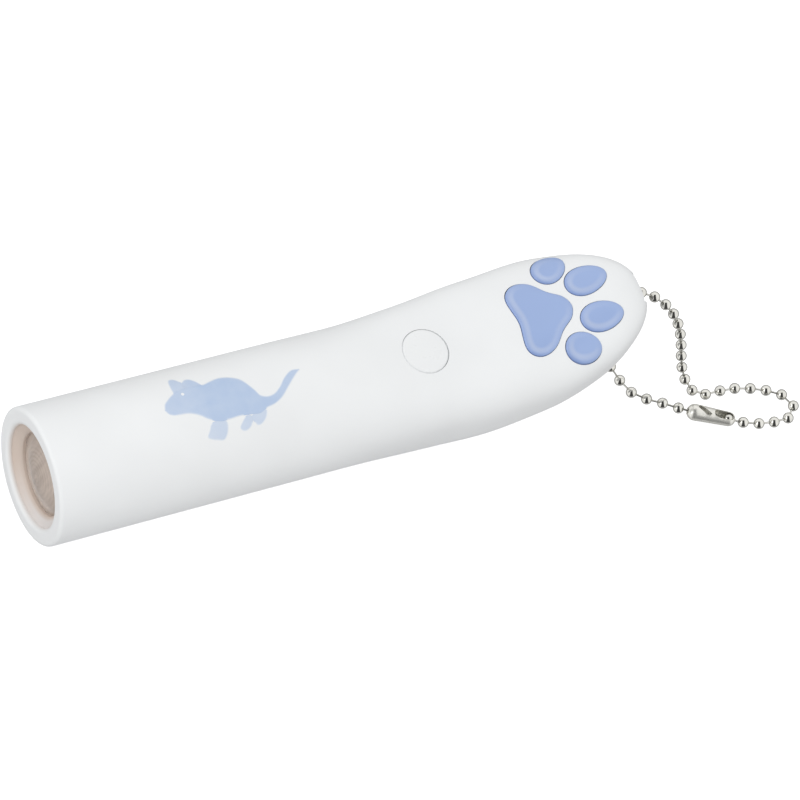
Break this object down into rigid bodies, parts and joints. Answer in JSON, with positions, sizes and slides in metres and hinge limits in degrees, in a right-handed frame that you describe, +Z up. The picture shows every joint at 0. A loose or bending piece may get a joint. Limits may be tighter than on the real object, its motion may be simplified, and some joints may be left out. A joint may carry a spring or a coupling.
{
  "type": "cat led pointer",
  "caption": "Hand-held LED pointer for cats with a paw-shaped tail, a recessed front lens, a push button and a ball chain.",
  "frame": {"origin": "on the resting surface, under the middle of the grip's length and width", "axes": "+X from the front rim towards the tail, +Z up from the belly flat to the button, +Y to the object's far side in the picture"},
  "size_m": [0.146, 0.0354, 0.0276],
  "materials": {
    "white_shell": "satin white moulding",
    "button_white": "satin white moulding",
    "pad_blue": "satin pale blue moulding",
    "bezel_white": "slightly translucent white ring",
    "tube_beige": "matt beige moulding",
    "lens_clear": "clear lens",
    "slide_film": "dark film",
    "black_plastic": "matt black moulding",
    "led_clear": "clear epoxy",
    "board_green": "solder resist over laminate",
    "resistor_tan": "lacquered",
    "cell_steel": "plated can",
    "contact_metal": "nickel plated spring steel",
    "screw_steel": "zinc plated",
    "chain_nickel": "nickel plated brass"
  },
  "bodies": {
    "grip": {"upper_shell": "white_shell", "lower_shell": "white_shell", "front_bezel": "bezel_white", "main_pad": "pad_blue", "toe_pad_outer_near": "pad_blue", "toe_pad_inner_near": "pad_blue", "toe_pad_inner_far": "pad_blue", "toe_pad_outer_far": "pad_blue", "lens_tube": "tube_beige", "lens_ring": "tube_beige", "front_lens": "lens_clear", "motif_slide": "slide_film", "condenser_lens": "lens_clear", "led_holder": "black_plastic", "led": "led_clear", "circuit_board": "board_green", "resistor": "resistor_tan", "switch_body": "black_plastic", "cell_front": "cell_steel", "cell_middle": "cell_steel", "cell_rear": "cell_steel", "positive_contact": "contact_metal", "negative_contact": "contact_metal", "battery_spring": "contact_metal", "case_screws": "screw_steel", "lanyard_pin": "screw_steel"},
    "button": {"push_button": "button_white"},
    "plunger": {"switch_plunger": "black_plastic"},
    "cover": {"battery_cover": "white_shell"},
    "screw": {"cover_screw": "screw_steel"},
    "chain": {"chain_beads": "chain_nickel", "chain_links": "chain_nickel", "chain_clasp": "chain_nickel"}
  },
  "joints": [
    {"name": "button_press", "type": "slide", "parent": "grip", "child": "button", "axis": [0, 0, -1], "range_m": [0, 0.0005], "stiffness_N_per_m": 3000},
    {"name": "plunger_press", "type": "slide", "parent": "grip", "child": "plunger", "axis": [0, 0, -1], "range_m": [0, 0.0005]},
    {"name": "cover_lift", "type": "slide", "parent": "grip", "child": "cover", "axis": [0, 0, -1], "range_m": [0, 0.02]},
    {"name": "cover_screw_turn", "type": "hinge", "parent": "cover", "child": "screw", "pos_m": [0.00175, 0, 0.001], "axis": [0, 0, 1], "continuous": true},
    {"name": "chain_swing", "type": "hinge", "parent": "grip", "child": "chain", "pos_m": [0.05275, 0, 0.0218], "axis": [0, -1, 0], "range_deg": [0, 12]}
  ],
  "couplings": [
    {"joint": "plunger_press", "follows": "button_press", "ratio": 1}
  ]
}
